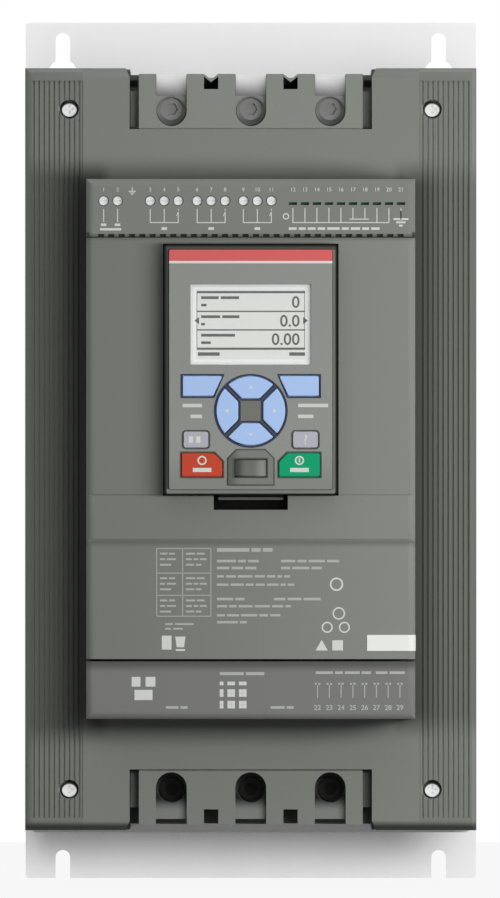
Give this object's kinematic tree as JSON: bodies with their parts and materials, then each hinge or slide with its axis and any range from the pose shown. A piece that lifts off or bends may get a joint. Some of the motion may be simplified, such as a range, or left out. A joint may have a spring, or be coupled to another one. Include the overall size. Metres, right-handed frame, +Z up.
{
  "type": "soft starter",
  "caption": "Wall-mounted soft starter for electric motors: ribbed grey housing, power terminals above and below, control terminals, plug-in keypad with display and keys, cooling fans.",
  "frame": {"origin": "centre of the mounting plate's back face, where it meets the wall", "axes": "+X to the right seen from the front, +Z up, the front looks toward -Y and +Y points into the wall"},
  "size_m": [0.2, 0.2673, 0.38],
  "materials": {
    "zinc_sheet": "zinc plated, satin",
    "sink_alloy": "extruded, matt",
    "fan_black": "moulded, matt",
    "fastener_steel": "zinc plated",
    "case_black": "moulded, matt",
    "copper_bar": "rolled, satin",
    "tinned_lug": "tinned, satin",
    "shroud_grey": "moulded, fine grain",
    "cover_grey": "moulded, fine grain",
    "board_green": "lacquered board",
    "terminal_green": "moulded, matt",
    "cable_grey": "flat cable",
    "keypad_black": "moulded, satin",
    "keypad_grey": "moulded, satin",
    "label_white": "blank marker",
    "display_light": "liquid crystal display",
    "window_clear": "clear",
    "socket_tin": "bright",
    "plug_clear": "translucent",
    "key_lilac": "moulded, satin",
    "key_light": "moulded, satin",
    "key_red": "moulded, satin",
    "key_green": "moulded, satin"
  },
  "bodies": {
    "housing": {"mounting_plate": "zinc_sheet", "chassis": "zinc_sheet", "heat_sink": "sink_alloy", "fan_frame_left": "fan_black", "fan_frame_right": "fan_black", "fan_guards": "fastener_steel", "busbar_screws": "fastener_steel", "clamp_screws": "fastener_steel", "board_spacers": "fastener_steel", "board_screws": "fastener_steel", "shroud_screws": "fastener_steel", "terminal_screws": "fastener_steel", "thyristor_module_1": "case_black", "thyristor_module_2": "case_black", "thyristor_module_3": "case_black", "bypass_relay_1": "case_black", "bypass_relay_2": "case_black", "bypass_relay_3": "case_black", "current_transformers": "case_black", "line_busbars": "copper_bar", "load_busbars": "copper_bar", "line_lugs": "tinned_lug", "load_lugs": "tinned_lug", "front_shroud": "shroud_grey", "line_terminal_block": "shroud_grey", "load_terminal_block": "shroud_grey", "terminal_guides": "shroud_grey", "front_cover": "cover_grey", "terminal_cover": "cover_grey", "comm_cover": "cover_grey", "power_board": "board_green", "control_board": "board_green", "screw_terminals": "terminal_green", "signal_terminals": "terminal_green", "comm_terminals": "terminal_green", "ribbon_cable": "cable_grey", "keypad_cradle": "keypad_black", "keypad_socket": "keypad_black", "marker_label": "label_white"},
    "keypad": {"keypad_back": "keypad_black", "keypad_front": "keypad_grey", "keypad_board": "board_green", "display_module": "display_light", "display_window": "window_clear", "key_switches": "keypad_black", "usb_socket": "socket_tin", "keypad_plug": "plug_clear"},
    "usb_flap": {"usb_cover": "keypad_grey"},
    "rotor_left": {"fan_rotor_left": "fan_black"},
    "rotor_right": {"fan_rotor_right": "fan_black"},
    "softkey_left_body": {"softkey_left": "key_lilac"},
    "softkey_right_body": {"softkey_right": "key_lilac"},
    "nav_up_body": {"nav_up": "key_lilac"},
    "nav_down_body": {"nav_down": "key_lilac"},
    "nav_left_body": {"nav_left": "key_lilac"},
    "nav_right_body": {"nav_right": "key_lilac"},
    "mode_key_body": {"mode_key": "key_light"},
    "info_key_body": {"info_key": "key_light"},
    "stop_key_body": {"stop_key": "key_red"},
    "start_key_body": {"start_key": "key_green"}
  },
  "joints": [
    {"name": "keypad_pull", "type": "slide", "parent": "housing", "child": "keypad", "axis": [0, -1, 0], "range_m": [0, 0.04]},
    {"name": "flap_hinge", "type": "hinge", "parent": "keypad", "child": "usb_flap", "pos_m": [0, -0.2654, -0.0113], "axis": [1, 0, 0], "range_deg": [0, 90]},
    {"name": "rotor_left_spin", "type": "hinge", "parent": "housing", "child": "rotor_left", "pos_m": [-0.0415, -0.0435, -0.1305], "axis": [0, 0, 1], "continuous": true},
    {"name": "rotor_right_spin", "type": "hinge", "parent": "housing", "child": "rotor_right", "pos_m": [0.0415, -0.0435, -0.1305], "axis": [0, 0, 1], "continuous": true},
    {"name": "softkey_left_press", "type": "slide", "parent": "keypad", "child": "softkey_left_body", "axis": [0, 1, 0], "range_m": [0, 0.0008], "stiffness_N_per_m": 1000},
    {"name": "softkey_right_press", "type": "slide", "parent": "keypad", "child": "softkey_right_body", "axis": [0, 1, 0], "range_m": [0, 0.0008], "stiffness_N_per_m": 1000},
    {"name": "nav_up_press", "type": "slide", "parent": "keypad", "child": "nav_up_body", "axis": [0, 1, 0], "range_m": [0, 0.0008], "stiffness_N_per_m": 1000},
    {"name": "nav_down_press", "type": "slide", "parent": "keypad", "child": "nav_down_body", "axis": [0, 1, 0], "range_m": [0, 0.0008], "stiffness_N_per_m": 1000},
    {"name": "nav_left_press", "type": "slide", "parent": "keypad", "child": "nav_left_body", "axis": [0, 1, 0], "range_m": [0, 0.0008], "stiffness_N_per_m": 1000},
    {"name": "nav_right_press", "type": "slide", "parent": "keypad", "child": "nav_right_body", "axis": [0, 1, 0], "range_m": [0, 0.0008], "stiffness_N_per_m": 1000},
    {"name": "mode_key_press", "type": "slide", "parent": "keypad", "child": "mode_key_body", "axis": [0, 1, 0], "range_m": [0, 0.0008], "stiffness_N_per_m": 1000},
    {"name": "info_key_press", "type": "slide", "parent": "keypad", "child": "info_key_body", "axis": [0, 1, 0], "range_m": [0, 0.0008], "stiffness_N_per_m": 1000},
    {"name": "stop_key_press", "type": "slide", "parent": "keypad", "child": "stop_key_body", "axis": [0, 1, 0], "range_m": [0, 0.0008], "stiffness_N_per_m": 1000},
    {"name": "start_key_press", "type": "slide", "parent": "keypad", "child": "start_key_body", "axis": [0, 1, 0], "range_m": [0, 0.0008], "stiffness_N_per_m": 1000}
  ]
}
